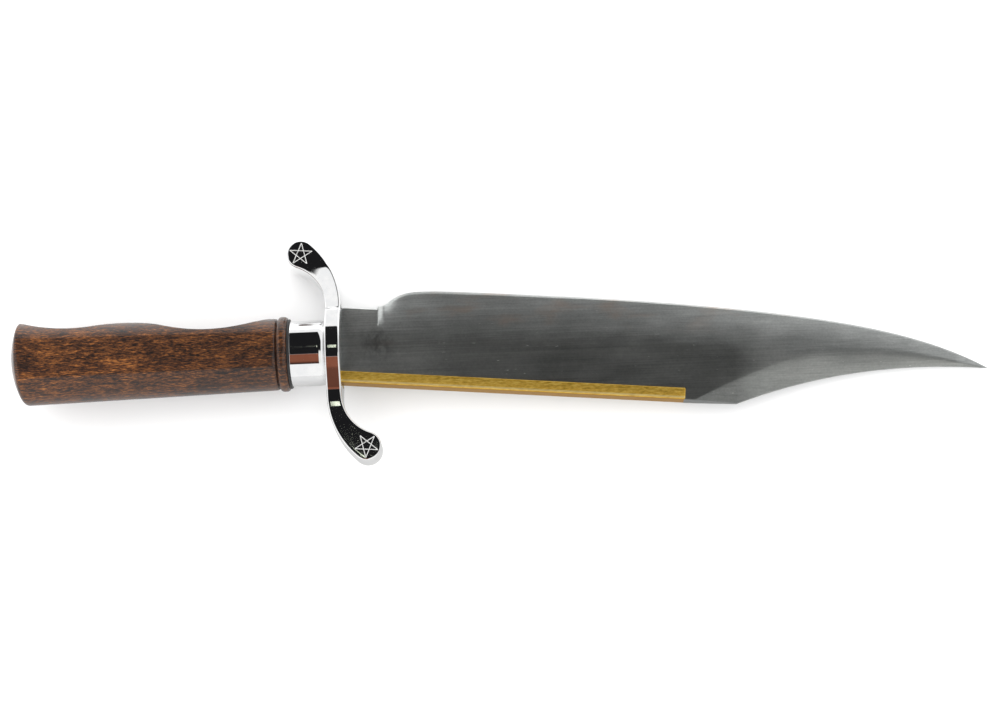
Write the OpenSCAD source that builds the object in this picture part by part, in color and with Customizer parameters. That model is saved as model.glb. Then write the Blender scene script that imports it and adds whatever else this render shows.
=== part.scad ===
// Clip-point knife with a brass-backed blade, a forged S guard, a ferrule and a
// turned wooden grip with two finger grooves.
// Frame: +X runs along the grip axis towards the point, +Y towards the cutting
// edge, +Z square to the blade. The origin is on the grip axis at the guard's
// front face. The blade leaves the guard at a slight droop, blade_cant.
// Blade features are laid out in (u, v): u along the blade's back from the
// origin, v square to the back, towards the edge.

/* [Blade] */
// length from the guard's front face to the point, along the back
blade_len = 280.9; // [240:0.1:320]
// angle between the blade's back and the grip axis, degrees
blade_cant = 5.4; // [0:0.1:8]
// stock thickness
blade_t = 6.35; // [5:0.05:8]
// distance of the back below the axis
back_v = 14.4; // [12:0.1:16]
// height of the unsharpened ricasso above the axis
ricasso_v = 19.5; // [17:0.1:21]
// height of the edge above the axis at its widest
edge_top_v = 30.05; // [29:0.05:31]
// height of the point above the axis
point_v = 7; // [6:0.1:9]
// start of the ground edge, where the ricasso ends
plunge_u = 14.4; // [12:0.1:18]
// radius of the heel, where the edge rises from the ricasso
heel_r = 32; // [28:1:40]
// where the straight edge turns into the belly
belly_u = 95; // [80:1:110]
// radius of the belly
belly_r = 1400; // [1200:10:1800]
// where the belly tightens towards the point
nose_u = 220; // [200:1:230]
// where the back turns into the clip
clip_u = 172.4; // [168:0.1:180]
// radius of the concave clip
clip_r = 250; // [220:1:300]
// slope of the ground faces against the flats, degrees
grind_a = 7.86; // [7:0.01:9]
// slope of the swedge along the clip, degrees
swedge_a = 14; // [12:0.1:16]

/* [Brass back strip] */
// where the strip ends on the blade's back
strip_end_u = 149.9; // [100:0.1:150]
// height of the strip's legs on the blade's flats
strip_h = 5; // [3:0.1:7]
// thickness over both legs
strip_t = 7.9; // [7.2:0.1:9]
// thickness of the web under the back
strip_web = 1.2; // [0.8:0.1:2]
// diameter of the pin at the strip's front end
pin_d = 1.5; // [1:0.1:2.5]

/* [Guard] */
// thickness along the grip axis
guard_t = 6.6; // [5:0.1:9]
// half width of the crown, over the ferrule
crown_z = 14.5; // [14.4:0.1:17]
// half-length of the straight middle, along Y
arm_y = 20; // [18:0.1:22]
// centre of the lower end disc, ahead of the guard's front face
disc_x = 10.2; // [8:0.1:12]
// centre of the end discs, away from the grip axis
disc_y = 43.6; // [40:0.1:48]
// radius of the end discs
disc_r = 6.3; // [5.5:0.1:7]
// slope of the ramps beside the crown, degrees
ramp_a = 30; // [20:1:32]
// length of each ramp's straight stretch, along Y
ramp_len = 6.25; // [4:0.05:7]
// circumradius of the engraved stars
star_r = 5.2; // [4:0.1:5.4]

/* [Ferrule and spacer] */
// length of the ferrule
ferrule_len = 15.4; // [12:0.1:20]
// outside diameter of the ferrule
ferrule_d = 28.6; // [27:0.1:28.8]
// bore of the ferrule and the spacer, and diameter of the grip's tenon
tenon_d = 25; // [22:0.1:26]
// thickness of the fibre spacer behind the ferrule
spacer_t = 0.8; // [0.5:0.1:2]
// outside diameter of the spacer
spacer_d = 30.4; // [30:0.1:31.6]

/* [Grip] */
// length of the grip, without its tenon
grip_len = 120.7; // [110:0.1:135]
// diameter of the grip behind the bead
grip_front_d = 31.3; // [30.8:0.1:33]
// diameter of the grip at the butt
grip_butt_d = 35.8; // [33:0.1:38]
// diameter over the turned bead
bead_d = 32.7; // [32:0.1:34]
// radius of the domed butt
dome_r = 40; // [34:1:60]
// front finger groove: distance behind the guard's front face
groove_front_x = 57.5; // [50:0.5:62]
// front finger groove: height of its floor above the axis
groove_front_y = 9.3; // [9:0.1:14]
// front finger groove: radius
groove_front_r = 57; // [50:1:120]
// rear finger groove: distance behind the guard's front face
groove_rear_x = 117.5; // [112:0.5:120]
// rear finger groove: height of its floor above the axis
groove_rear_y = 12.6; // [12:0.1:16]
// rear finger groove: radius
groove_rear_r = 50; // [44:1:100]

/* [Tang] */
// length of the tang behind the guard's front face
tang_len = 85; // [60:1:110]
// width of the tang at the guard
tang_w = 10.4; // [8:0.1:11]
// width of the tang at its end
tang_end_w = 7; // [5:0.1:8]
// thickness of the tang
tang_t = 5; // [4:0.1:6]
// diameter of the drilled hole that the tang is bedded in
bore_d = 12.4; // [12:0.1:14]

/* [Hidden] */
$fn = 96;
half_t = blade_t / 2;
edge_half = 0.05;
edge_bevel_w = 1.3;
edge_bevel_half = 0.45;
heel_bevel = 1.5;
corner_u = 0.8;
corner_r = 2.7;
chamfer = 0.5;
spine_half = 0.9;
grind_w = edge_bevel_w + (half_t - edge_bevel_half) / tan(grind_a);
swedge_w = (half_t - spine_half) / tan(swedge_a);
heel_c = [plunge_u + sqrt(heel_r ^ 2 - (heel_r - 9.8) ^ 2), edge_top_v - heel_r];
belly_c = [belly_u, edge_top_v - belly_r];
nose = [nose_u, belly_c.y + sqrt(belly_r ^ 2 - (nose_u - belly_u) ^ 2)];
nose_dir = (nose - belly_c) / belly_r;
nose_gap = nose - [blade_len, point_v];
nose_r = nose_gap * nose_gap / (2 * (nose_gap * nose_dir));
nose_c = nose - nose_r * nose_dir;
clip_chord = [blade_len - clip_u, point_v + back_v];
clip_mid = [(blade_len + clip_u) / 2, (point_v - back_v) / 2];
clip_rise = sqrt(clip_r ^ 2 - (norm(clip_chord) / 2) ^ 2) / norm(clip_chord);
clip_c = clip_mid + clip_rise * [clip_chord.y, -clip_chord.x];
strip_in = half_t - 0.25;
strip_out = strip_t / 2;
strip_break = 0.3;
pin_u = strip_end_u - 3;
pin_v = strip_h / 2 - back_v;
seat_x = -0.3;
seat_y = [-15.6, 20.8];
seat_z = 5.4;
slot_gap = 0.1;
fillet_r = 15;
crown_r = 20;
ramp_y1 = crown_r * sin(ramp_a);
ramp_z1 = crown_z - crown_r * (1 - cos(ramp_a));
ramp_y2 = ramp_y1 + ramp_len;
ramp_z2 = ramp_z1 - ramp_len * tan(ramp_a);
tip_y = ramp_y2 + fillet_r * sin(ramp_a);
tip_z = ramp_z2 - fillet_r * (1 - cos(ramp_a));
disc = [disc_x, -disc_y];
arm_drop = disc_y - arm_y;
outer_span = disc_x + guard_t;
outer_r = (outer_span ^ 2 + arm_drop ^ 2 - disc_r ^ 2) / (2 * (outer_span - disc_r));
inner_r = (disc_x ^ 2 + arm_drop ^ 2 - disc_r ^ 2) / (2 * (disc_x + disc_r));
outer_c = [outer_r - guard_t, -arm_y];
inner_c = [inner_r, -arm_y];
star_a = -95;
star_w = 0.45;
star_depth = 0.25;
ferrule_lip = 1;
ferrule_back = -guard_t - ferrule_len;
shoulder_x = ferrule_back - spacer_t;
bead_r = 2.2;
bead_x = shoulder_x - bead_r;
grip_start = shoulder_x - 2 * bead_r - 0.4;
neck_r = 14.4;
grip_edge = 0.8;
butt_x = shoulder_x - grip_len;
butt_round = 2.5;
dome_lift = 2;
bore_end = tang_len + 5;

// Vertical slice of the blade's side view, from u0 to u1.
module slice(u0, u1) {
    translate([u0, -back_v])
        square([u1 - u0, 60]);
}

// The blade in side view: ricasso with its rounded corner, heel, straight
// edge, belly and nose, with the clip cut from the back.
module blade_outline() {
    difference() {
        union() {
            translate([-6, -back_v])
                square([5, back_v + ricasso_v - corner_r]);
            intersection() {
                slice(corner_u - corner_r, corner_u + 0.1);
                translate([corner_u, ricasso_v - corner_r])
                    circle(corner_r);
            }
            translate([corner_u - corner_r, -back_v])
                square([plunge_u, back_v + ricasso_v - corner_r]);
            translate([corner_u, -back_v])
                square([plunge_u, back_v + ricasso_v]);
            intersection() {
                slice(plunge_u, heel_c.x);
                translate(heel_c)
                    circle(heel_r);
            }
            translate([plunge_u, -back_v])
                square([belly_u - plunge_u, back_v + ricasso_v]);
            translate([heel_c.x, -back_v])
                square([belly_u - heel_c.x, back_v + edge_top_v]);
            intersection() {
                slice(belly_u - 1, nose_u);
                translate(belly_c)
                    circle(belly_r, $fn = 2400);
            }
            intersection() {
                slice(nose_u - 0.5, blade_len + 1);
                translate(nose_c)
                    circle(nose_r, $fn = 720);
            }
        }
        translate(clip_c)
            circle(clip_r, $fn = 720);
    }
}

// What is ground away above a face, as [distance from the edge, z].
module grind_cut() {
    polygon([
        [-3, edge_half],
        [0, edge_half],
        [edge_bevel_w, edge_bevel_half],
        [grind_w + 1, half_t + tan(grind_a)],
        [grind_w + 1, half_t + 2],
        [-3, half_t + 2],
    ]);
}

// The same for the swedge, from the clip inwards.
module swedge_cut() {
    polygon([
        [-2, spine_half - 2 * tan(swedge_a)],
        [swedge_w + 1, half_t + tan(swedge_a)],
        [swedge_w + 1, half_t + 2],
        [-2, half_t + 2],
    ]);
}

// One side's grinding: a flat face up to the belly, cones along the belly and
// the nose, a small bevel round the heel and the swedge along the clip.
module ground_away() {
    translate([plunge_u, 0, 0])
        rotate([90, 0, 90])
            linear_extrude(belly_u - plunge_u)
                translate([edge_top_v, 0])
                    mirror([1, 0])
                        grind_cut();
    intersection() {
        translate(belly_c)
            rotate_extrude($fn = 2400)
                translate([belly_r, 0])
                    mirror([1, 0])
                        grind_cut();
        translate([belly_u, -40, 0])
            cube([nose_u - belly_u, 80, 10]);
    }
    intersection() {
        translate(nose_c)
            rotate_extrude($fn = 720)
                translate([nose_r, 0])
                    mirror([1, 0])
                        grind_cut();
        translate([nose_u, -40, 0])
            cube([80, 80, 10]);
    }
    intersection() {
        translate(heel_c)
            rotate_extrude()
                polygon([
                    [heel_r + 2, edge_half],
                    [heel_r, edge_half],
                    [heel_r - heel_bevel, edge_half + heel_bevel],
                    [heel_r + 2, edge_half + heel_bevel + 4],
                ]);
        translate([plunge_u, 0, 0])
            cube([heel_c.x - plunge_u, 60, 10]);
    }
    translate(clip_c)
        rotate_extrude($fn = 720)
            translate([clip_r, 0])
                swedge_cut();
}

// Broken edges along the ricasso's top.
module ricasso_break() {
    for (side = [-1, 1])
        translate([-7, ricasso_v, side * half_t])
            rotate([45, 0, 0])
                cube([2 * (plunge_u + 7), sqrt(2) * chamfer, sqrt(2) * chamfer], center = true);
}

// Ground blade before the strip and the tang.
module blade_body() {
    difference() {
        linear_extrude(blade_t, center = true)
            blade_outline();
        ground_away();
        mirror([0, 0, 1])
            ground_away();
        ricasso_break();
    }
}

// Places children drawn in the blade's own frame.
module on_blade() {
    rotate([0, 0, -blade_cant])
        children();
}

// Spins a profile drawn as [radius, x] about the grip axis.
module turned() {
    rotate([0, 90, 0])
        rotate_extrude()
            children();
}

// Everything behind the floor of the guard's seat.
module behind_seat() {
    translate([seat_x - 60, -60, -30])
        cube([60, 120, 60]);
}

// U section of the brass strip, as [v, z].
module strip_section() {
    leg = strip_h - back_v;
    difference() {
        polygon([
            [-back_v + strip_break, -strip_out],
            [leg - strip_break, -strip_out],
            [leg, strip_break - strip_out],
            [leg, strip_out - strip_break],
            [leg - strip_break, strip_out],
            [-back_v + strip_break, strip_out],
            [-back_v, strip_out - strip_break],
            [-back_v, strip_break - strip_out],
        ]);
        translate([strip_web - back_v, -strip_in])
            square([strip_h, 2 * strip_in]);
    }
}

// The strip at full length, running on behind the guard's front face.
module strip_blank() {
    on_blade()
        translate([-6, 0, 0])
            rotate([90, 0, 90])
                linear_extrude(strip_end_u + 6)
                    strip_section();
}

module pin_blank(h) {
    on_blade()
        translate([pin_u, pin_v, 0])
            cylinder(d = pin_d, h = h, center = true);
}

// Tang outline, tapering to its end inside the grip.
module tang() {
    linear_extrude(tang_t, center = true)
        polygon([
            [-tang_len, -tang_end_w / 2],
            [-guard_t, -tang_w / 2],
            [3, -tang_w / 2],
            [3, tang_w / 2],
            [-guard_t, tang_w / 2],
            [-tang_len, tang_end_w / 2],
        ]);
}

module blade() {
    color("#6d6c68")
        difference() {
            union() {
                difference() {
                    on_blade()
                        blade_body();
                    behind_seat();
                }
                tang();
            }
            strip_blank();
            pin_blank(20);
        }
}

module spine_strip() {
    color("#b8912f")
        difference() {
            strip_blank();
            behind_seat();
            pin_blank(20);
        }
}

module strip_pin() {
    color("#a8842c")
        pin_blank(strip_t);
}

// The straight middle and one arm of the S, out to its end disc.
module guard_arm() {
    outer_end = outer_c + (outer_r + 5) * (disc - outer_c) / norm(disc - outer_c);
    translate(disc)
        circle(disc_r);
    difference() {
        polygon([
            [-guard_t, arm_y],
            [-guard_t, outer_end.y],
            outer_end,
            disc,
            inner_c,
            [0, -arm_y],
            [0, arm_y],
        ]);
        translate(inner_c)
            circle(inner_r);
        difference() {
            translate([-2 * guard_t, -arm_y - 60])
                square([2 * guard_t + outer_r, 60]);
            translate(outer_c)
                circle(outer_r);
        }
    }
}

// Plan of the guard in X and Y: the second arm is the first one turned half
// way round the guard's middle.
module guard_plan() {
    guard_arm();
    translate([-guard_t, 0])
        rotate(180)
            guard_arm();
}

// The guard's front view, as [y, z]: crown, ramps, hollows and arms.
module guard_front() {
    intersection() {
        translate([0, crown_z - crown_r])
            circle(crown_r);
        translate([0, crown_r - crown_z])
            circle(crown_r);
        square([2 * ramp_y1, 2 * crown_z], center = true);
    }
    polygon([
        [-ramp_y2, -ramp_z2],
        [-ramp_y1, -ramp_z1],
        [ramp_y1, -ramp_z1],
        [ramp_y2, -ramp_z2],
        [ramp_y2, ramp_z2],
        [ramp_y1, ramp_z1],
        [-ramp_y1, ramp_z1],
        [-ramp_y2, ramp_z2],
    ]);
    for (a = [0, 180])
        rotate(a)
            difference() {
                polygon([
                    [ramp_y2 - 1, -ramp_z2],
                    [ramp_y2, -ramp_z2],
                    [tip_y, -tip_z],
                    [tip_y, tip_z],
                    [ramp_y2, ramp_z2],
                    [ramp_y2 - 1, ramp_z2],
                ]);
                for (face = [-1, 1])
                    translate([tip_y, face * (tip_z + fillet_r)])
                        circle(fillet_r);
            }
    square([120, 2 * tip_z], center = true);
}

// Five-point line star, cut star_depth deep on both sides of an end disc.
module star() {
    for (side = [-1, 1], k = [0:4])
        translate([0, 0, side * tip_z])
            rotate([0, 0, star_a + 72 * k])
                translate([star_r * cos(72), 0, 0])
                    cube([star_w, 2 * star_r * sin(72), 2 * star_depth], center = true);
}

module guard() {
    color("#c9cccf")
        difference() {
            intersection() {
                translate([0, 0, -crown_z])
                    linear_extrude(2 * crown_z)
                        guard_plan();
                translate([-40, 0, 0])
                    rotate([90, 0, 90])
                        linear_extrude(80)
                            guard_front();
            }
            translate([seat_x, seat_y[0], -seat_z])
                cube([1, seat_y[1] - seat_y[0], 2 * seat_z]);
            translate([-guard_t / 2, 0, 0])
                cube([2 * guard_t, tang_w + 2 * slot_gap, tang_t + 2 * slot_gap], center = true);
            translate(disc)
                star();
            translate([-guard_t, 0] - disc)
                rotate([0, 0, 180])
                    star();
        }
}

module ferrule() {
    color("#c4c7ca")
        turned()
            difference() {
                union() {
                    translate([tenon_d / 2 - 1, ferrule_back])
                        square([ferrule_d / 2 - tenon_d / 2 + 1 - ferrule_lip, ferrule_len]);
                    translate([tenon_d / 2 - 1, ferrule_back + ferrule_lip])
                        square([ferrule_d / 2 - tenon_d / 2 + 1, ferrule_len - 2 * ferrule_lip]);
                    for (x = [ferrule_back + ferrule_lip, -guard_t - ferrule_lip])
                        translate([ferrule_d / 2 - ferrule_lip, x])
                            circle(ferrule_lip);
                }
                translate([0, ferrule_back - 1])
                    square([tenon_d / 2, ferrule_len + 2]);
            }
}

module front_spacer() {
    color("#1d1b1a")
        turned()
            translate([tenon_d / 2, shoulder_x])
                square([(spacer_d - tenon_d) / 2, spacer_t]);
}

// Profile of the grip blank, as [radius, x]: tenon, bead, neck and barrel.
module grip_profile() {
    translate([0, shoulder_x - 1])
        square([tenon_d / 2, spacer_t + ferrule_len + 1]);
    translate([bead_d / 2 - bead_r, bead_x])
        circle(bead_r);
    translate([0, grip_start - 1])
        square([bead_d / 2 - bead_r, shoulder_x - grip_start + 1]);
    polygon([
        [0, butt_x + 2 * butt_round],
        [grip_butt_d / 2, butt_x + 2 * butt_round],
        [grip_front_d / 2, grip_start - grip_edge],
        [neck_r + 0.4, grip_start],
        [0, grip_start],
    ]);
    translate([grip_butt_d / 2 - butt_round, butt_x + 2 * butt_round])
        circle(butt_round);
    translate([0, butt_x - 2])
        square([grip_butt_d / 2 - butt_round, 3 * butt_round + 2]);
}

module grip() {
    color("#6b3b20")
        difference() {
            intersection() {
                turned()
                    grip_profile();
                union() {
                    translate([butt_x + dome_r, dome_lift, 0])
                        sphere(dome_r);
                    translate([butt_x + dome_r, -30, -30])
                        cube([200, 60, 60]);
                }
            }
            translate([-groove_front_x, groove_front_y + groove_front_r, 0])
                cylinder(r = groove_front_r, h = 60, center = true);
            translate([-groove_rear_x, groove_rear_y + groove_rear_r, 0])
                cylinder(r = groove_rear_r, h = 60, center = true);
            translate([-bore_end, 0, 0])
                rotate([0, 90, 0])
                    cylinder(d = bore_d, h = bore_end);
        }
}

// Set resin that fills the drilled hole around the tang.
module tang_bed() {
    color("#c8b48a")
        difference() {
            translate([-bore_end, 0, 0])
                rotate([0, 90, 0])
                    cylinder(d = bore_d, h = bore_end - guard_t);
            tang();
        }
}

blade();
spine_strip();
strip_pin();
guard();
ferrule();
front_spacer();
grip();
tang_bed();
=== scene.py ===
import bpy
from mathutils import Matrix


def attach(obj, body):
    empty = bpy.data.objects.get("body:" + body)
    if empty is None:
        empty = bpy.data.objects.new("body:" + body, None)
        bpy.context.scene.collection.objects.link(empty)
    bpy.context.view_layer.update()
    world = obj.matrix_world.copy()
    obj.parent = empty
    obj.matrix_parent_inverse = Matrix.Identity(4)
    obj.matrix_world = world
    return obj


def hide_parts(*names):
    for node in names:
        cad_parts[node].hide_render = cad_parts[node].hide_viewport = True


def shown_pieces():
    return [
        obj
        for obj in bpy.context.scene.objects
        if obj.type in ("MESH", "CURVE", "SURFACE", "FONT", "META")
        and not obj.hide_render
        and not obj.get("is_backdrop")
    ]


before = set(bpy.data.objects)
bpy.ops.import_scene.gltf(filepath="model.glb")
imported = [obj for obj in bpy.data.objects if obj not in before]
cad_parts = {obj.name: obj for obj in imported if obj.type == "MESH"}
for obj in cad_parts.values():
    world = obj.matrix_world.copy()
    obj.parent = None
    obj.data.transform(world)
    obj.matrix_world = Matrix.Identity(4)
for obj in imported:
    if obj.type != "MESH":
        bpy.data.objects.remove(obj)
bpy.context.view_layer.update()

import math

import bmesh
import bpy
from mathutils import Matrix, Vector

# Clip-point bowie knife: brass-backed blade, forged S guard, ferrule, fibre
# spacer and a turned grip. Lengths below are millimetres, as in part.scad, and
# turn into metres where a mesh is made. +X is the point, +Y the cutting edge.
MM = 0.001

# Blade, in (u, v): u along the back, v towards the edge.
CANT = math.radians(5.4)
BLADE_LEN = 280.9
HALF_T = 3.175
BACK_V = -14.4
RICASSO_V = 19.5
CORNER_U, CORNER_R = 0.8, 2.7
EDGE_V = 30.08
POINT_V = 7.0
PLUNGE_U = 14.4
PLUNGE_LEN, PLUNGE_STEP, PLUNGE_SLANT = 2.9, 0.5, 0.11
RICASSO_BREAK = 0.5
HEEL_RISE, HEEL_LEN = 8.9, 6.8
BELLY_U, BELLY_SHARE = 95.0, 0.485
CLIP_U, CLIP_R = 172.4, 250.0
# The swedge's upper border, as (u, v, rise over the stretch beside it).
SWEDGE_KNOTS = [
    (154.0, BACK_V, 24.0),
    (193.0, 5.2, 15.4),
    (232.0, 12.0, 0.0),
    (BLADE_LEN, POINT_V, -7.3),
]
SWEDGE_SLOPE = 0.205
# Past SWEDGE_FULL_U the flat swedge turns into an arched one.
SWEDGE_FULL_U, SWEDGE_BLEND = 180.0, 22.0
SWEDGE_ARCH, SWEDGE_ARCH_LEN = 1.45, 50.0
SPINE_HALF, SPINE_TIP_HALF = 0.9, 0.3
EDGE_HALF = 0.05
BEVEL_W, BEVEL_TIP_W = 1.15, 0.75
BEVEL_Z, BEVEL_FULL_W = 0.6, 0.7
# The grind line moves out to GRIND_TOP along the blade, and sweeps up at the plunge.
GRIND_TOP, GRIND_DROP, GRIND_DROP_LEN = 10.8, 9.5, 62.0
GRIND_SWEEP, GRIND_SWEEP_LEN = 8.2, 9.0
GRIND_CROWN = 1.5
# Past GRIND_DEPTH_U the grinding reaches at least GRIND_DEPTH in from the edge.
GRIND_DEPTH, GRIND_DEPTH_U = 19.0, 60.0
EASE_NEAR, EASE_FAR = 0.4, 2.4
EASE_TAPS = ((-1, 1), (-0.5, 4), (0, 6), (0.5, 4), (1, 1))
# Up to here the rows lean with the guard's face.
ROOT_U = 6.0
REBATE_Z = 2.925
REBATE_V = -9.6
REBATE_BACK_V = -13.2
REBATE_END_U = 149.4

# Brass strip and its pin.
STRIP_END_U = 149.9
STRIP_TOP_V = -9.4
STRIP_OUT = 3.95
STRIP_WEB = 1.2
STRIP_R, STRIP_TIP_R, STRIP_CORNER = 0.95, 0.3, 0.25
STRIP_CROWN, STRIP_CROWN_LEN = 0.22, 2.2
STRIP_BEVEL = 0.45
PIN_U, PIN_V, PIN_R, PIN_PROUD = 146.9, -11.9, 0.75, 0.05

# Guard.
GUARD_T = 6.6
CROWN_Z, CROWN_R = 14.5, 20.0
RAMP_START, RAMP_END = 10.0, 18.0
ARM_FLAT_Y = 26.0
TIP_Z = 6.2
ARM_Y = 20.0
DISC = Vector((10.2, -43.6))
DISC_R = 6.297
RIM_R = 0.75
STAR_R, STAR_W, STAR_DEPTH, STAR_TURN = 5.2, 0.38, 0.25, -95.0
SEAT_X = -0.3
SEAT_Y = (-15.6, 20.8)
SEAT_Z = 5.4
SLOT_GAP = 0.1
# The upper arm's faces lean towards the grip; each pair is (start, length) along Y.
LEAN = 0.21
LEAN_IN, LEAN_OUT = (17.6, 1.6), (36.4, 3.6)
LEAN_PIVOT, PIVOT_IN = 0.7, (20.0, 12.0)

# Ferrule, spacer and grip, along X.
FERRULE_BACK, FERRULE_R = -22.0, 14.3
SHOULDER_X, SPACER_R = -22.8, 15.2
TENON_R = 12.5
BEAD_R, BEAD_X, BEAD_TOP = 2.2, -25.0, 16.35
BEAD_SQUARE = 0.72
NECK_R = 14.8
GRIP_START = -27.4
BARREL_X0, BARREL_R0 = -28.4, 15.65
BARREL_X1, BARREL_R1 = -138.5, 17.9
DOME_R, DOME_X, DOME_LIFT = 40.0, -103.48, 2.0
BORE_R, BORE_END = 6.2, -90.0
TANG_LEN, TANG_W, TANG_END_W, TANG_T = 85.0, 10.4, 7.0, 5.0


# ---------------------------------------------------------------- small helpers
def clamp(value, low=0.0, high=1.0):
    return max(low, min(high, value))


def lerp(a, b, t):
    return a + (b - a) * t


def smooth(t):
    t = clamp(t)
    return t * t * (3 - 2 * t)


def soft_min(a, b, k):
    h = max(k - abs(a - b), 0.0) / k
    return min(a, b) - h * h * k / 4


def hermite(t, p0, p1, m0, m1):
    t2, t3 = t * t, t * t * t
    start = p0 * (2 * t3 - 3 * t2 + 1) + m0 * (t3 - 2 * t2 + t)
    return start + p1 * (3 * t2 - 2 * t3) + m1 * (t3 - t2)


def spread(start, end, count):
    return [lerp(start, end, i / count) for i in range(count + 1)]


def on_blade(u, v, z):
    return (
        u * math.cos(CANT) + v * math.sin(CANT),
        -u * math.sin(CANT) + v * math.cos(CANT),
        z,
    )


def grid_faces(rows, cols, closed, first=0):
    faces = []
    for r in range(rows - 1):
        for c in range(cols if closed else cols - 1):
            a = first + r * cols + c
            b = first + r * cols + (c + 1) % cols
            faces.append((a, b, b + cols, a + cols))
    return faces


def two_sided(rows):
    """A plate from the rows of points over its upper side, mirrored in Z and closed."""
    cols, last = len(rows[0]), len(rows) - 1
    top = [point for row in rows for point in row]
    count = len(top)
    verts = top + [(x, y, -z) for x, y, z in top]
    faces = grid_faces(len(rows), cols, False) + grid_faces(len(rows), cols, False, count)
    border = [(r * cols + c, (r + 1) * cols + c) for r in range(last) for c in (0, cols - 1)]
    border += [(first + c, first + c + 1) for first in (0, last * cols) for c in range(cols - 1)]
    faces += [(a, b, b + count, a + count) for a, b in border]
    return verts, faces


def new_piece(name, verts, faces, material, smooth_deg):
    mesh = bpy.data.meshes.new(name)
    mesh.from_pydata([Vector(v) * MM for v in verts], [], faces)
    bm = bmesh.new()
    bm.from_mesh(mesh)
    bmesh.ops.remove_doubles(bm, verts=bm.verts, dist=1e-7)
    bmesh.ops.dissolve_degenerate(bm, edges=bm.edges, dist=1e-8)
    bmesh.ops.recalc_face_normals(bm, faces=bm.faces)
    bm.to_mesh(mesh)
    bm.free()
    mesh.materials.append(material)
    shade(mesh, smooth_deg)
    piece = bpy.data.objects.new(name, mesh)
    bpy.context.scene.collection.objects.link(piece)
    return piece


def shade(mesh, smooth_deg):
    for face in mesh.polygons:
        face.use_smooth = True
    mesh.set_sharp_from_angle(angle=math.radians(smooth_deg))


def around(x, radius, angle):
    """The point at an angle about the grip axis."""
    return (x, radius * math.cos(angle), radius * math.sin(angle))


def lathe(name, profile, material, count=192):
    """Closed profile of (x, radius), spun about the grip axis."""
    verts = [around(x, r, 2 * math.pi * i / count) for x, r in profile for i in range(count)]
    last = (len(profile) - 1) * count
    faces = grid_faces(len(profile), count, True)
    for c in range(count):
        d = (c + 1) % count
        faces.append((last + c, last + d, d, c))
    return new_piece(name, verts, faces, material, 34.0)


def corner_points(start, corner, end, count):
    """Quadratic curve from start to end, pulled to the corner."""
    points = []
    for i in range(count + 1):
        t = i / count
        points.append(
            tuple(
                (1 - t) ** 2 * a + 2 * t * (1 - t) * b + t * t * c
                for a, b, c in zip(start, corner, end)
            )
        )
    return points


# -------------------------------------------------------------------- materials
class Nodes:
    """Adds and links the nodes of one tree, working from one texture coordinate."""

    def __init__(self, tree, coordinate):
        self.tree = tree
        self.place = self.add("TexCoord").outputs[coordinate]

    def add(self, kind, **settings):
        node = self.tree.nodes.new("ShaderNode" + kind)
        for key, value in settings.items():
            setattr(node, key, value)
        return node

    def link(self, source, socket):
        self.tree.links.new(source, socket)

    def fill(self, socket, value):
        if isinstance(value, bpy.types.NodeSocket):
            self.link(value, socket)
        else:
            socket.default_value = value

    def noise(self, scale, detail, rough, shift=(0, 0, 0), turn=0.0, distortion=0.0):
        mapping = self.add("Mapping")
        self.link(self.place, mapping.inputs["Vector"])
        mapping.inputs["Scale"].default_value = scale
        mapping.inputs["Location"].default_value = shift
        mapping.inputs["Rotation"].default_value = (0, 0, turn)
        node = self.add("TexNoise")
        self.link(mapping.outputs["Vector"], node.inputs["Vector"])
        node.inputs["Scale"].default_value = 1.0
        node.inputs["Detail"].default_value = detail
        node.inputs["Roughness"].default_value = rough
        node.inputs["Distortion"].default_value = distortion
        return node.outputs["Fac"]

    def span(self, value, low, high, to_low=0.0, to_high=1.0):
        """Smooth step from to_low to to_high while value goes from low to high."""
        node = self.add("MapRange", interpolation_type="SMOOTHSTEP")
        self.fill(node.inputs["Value"], value)
        node.inputs["From Min"].default_value = low
        node.inputs["From Max"].default_value = high
        node.inputs["To Min"].default_value = to_low
        node.inputs["To Max"].default_value = to_high
        return node.outputs["Result"]

    def band(self, value, rise, fall):
        """1 between two soft borders, each given as (from, to)."""
        return self.math("MULTIPLY", self.span(value, *rise), self.span(value, *fall, 1.0, 0.0))

    def math(self, kind, a, b):
        node = self.add("Math", operation=kind)
        self.fill(node.inputs[0], a)
        self.fill(node.inputs[1], b)
        return node.outputs[0]

    def weigh(self, first, *others):
        """Sum of (value, weight) pairs."""
        total = self.math("MULTIPLY", *first)
        for pair in others:
            total = self.math("ADD", total, self.math("MULTIPLY", *pair))
        return total

    def axis(self, letter):
        node = self.add("SeparateXYZ")
        self.link(self.place, node.inputs[0])
        return node.outputs[letter]

    def blade_v(self):
        """The blade's v, in metres."""
        return self.weigh((self.axis("Y"), math.cos(CANT)), (self.axis("X"), math.sin(CANT)))

    def spot(self, centre, radius, soft):
        """1 inside a ball at centre, falling to 0 over soft; metres."""
        node = self.add("VectorMath", operation="DISTANCE")
        self.link(self.place, node.inputs[0])
        node.inputs[1].default_value = centre
        return self.span(node.outputs["Value"], radius, radius + soft, 1.0, 0.0)

    def mix(self, factor, a, b, kind="MIX"):
        node = self.add("Mix", data_type="RGBA", blend_type=kind)
        self.fill(node.inputs[0], factor)
        self.fill(node.inputs[6], a)
        self.fill(node.inputs[7], b)
        return node.outputs[2]

    def mix_shaders(self, factor, a, b):
        node = self.add("MixShader")
        for socket, source in zip(node.inputs, (factor, a, b)):
            self.link(source, socket)
        return node.outputs[0]

    def ramp(self, value, stops):
        node = self.add("ValToRGB")
        self.link(value, node.inputs[0])
        marks = node.color_ramp.elements
        marks[0].position, marks[0].color = stops[0]
        marks[1].position, marks[1].color = stops[-1]
        for position, colour in stops[1:-1]:
            marks.new(position).color = colour
        return node.outputs["Color"]


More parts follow.
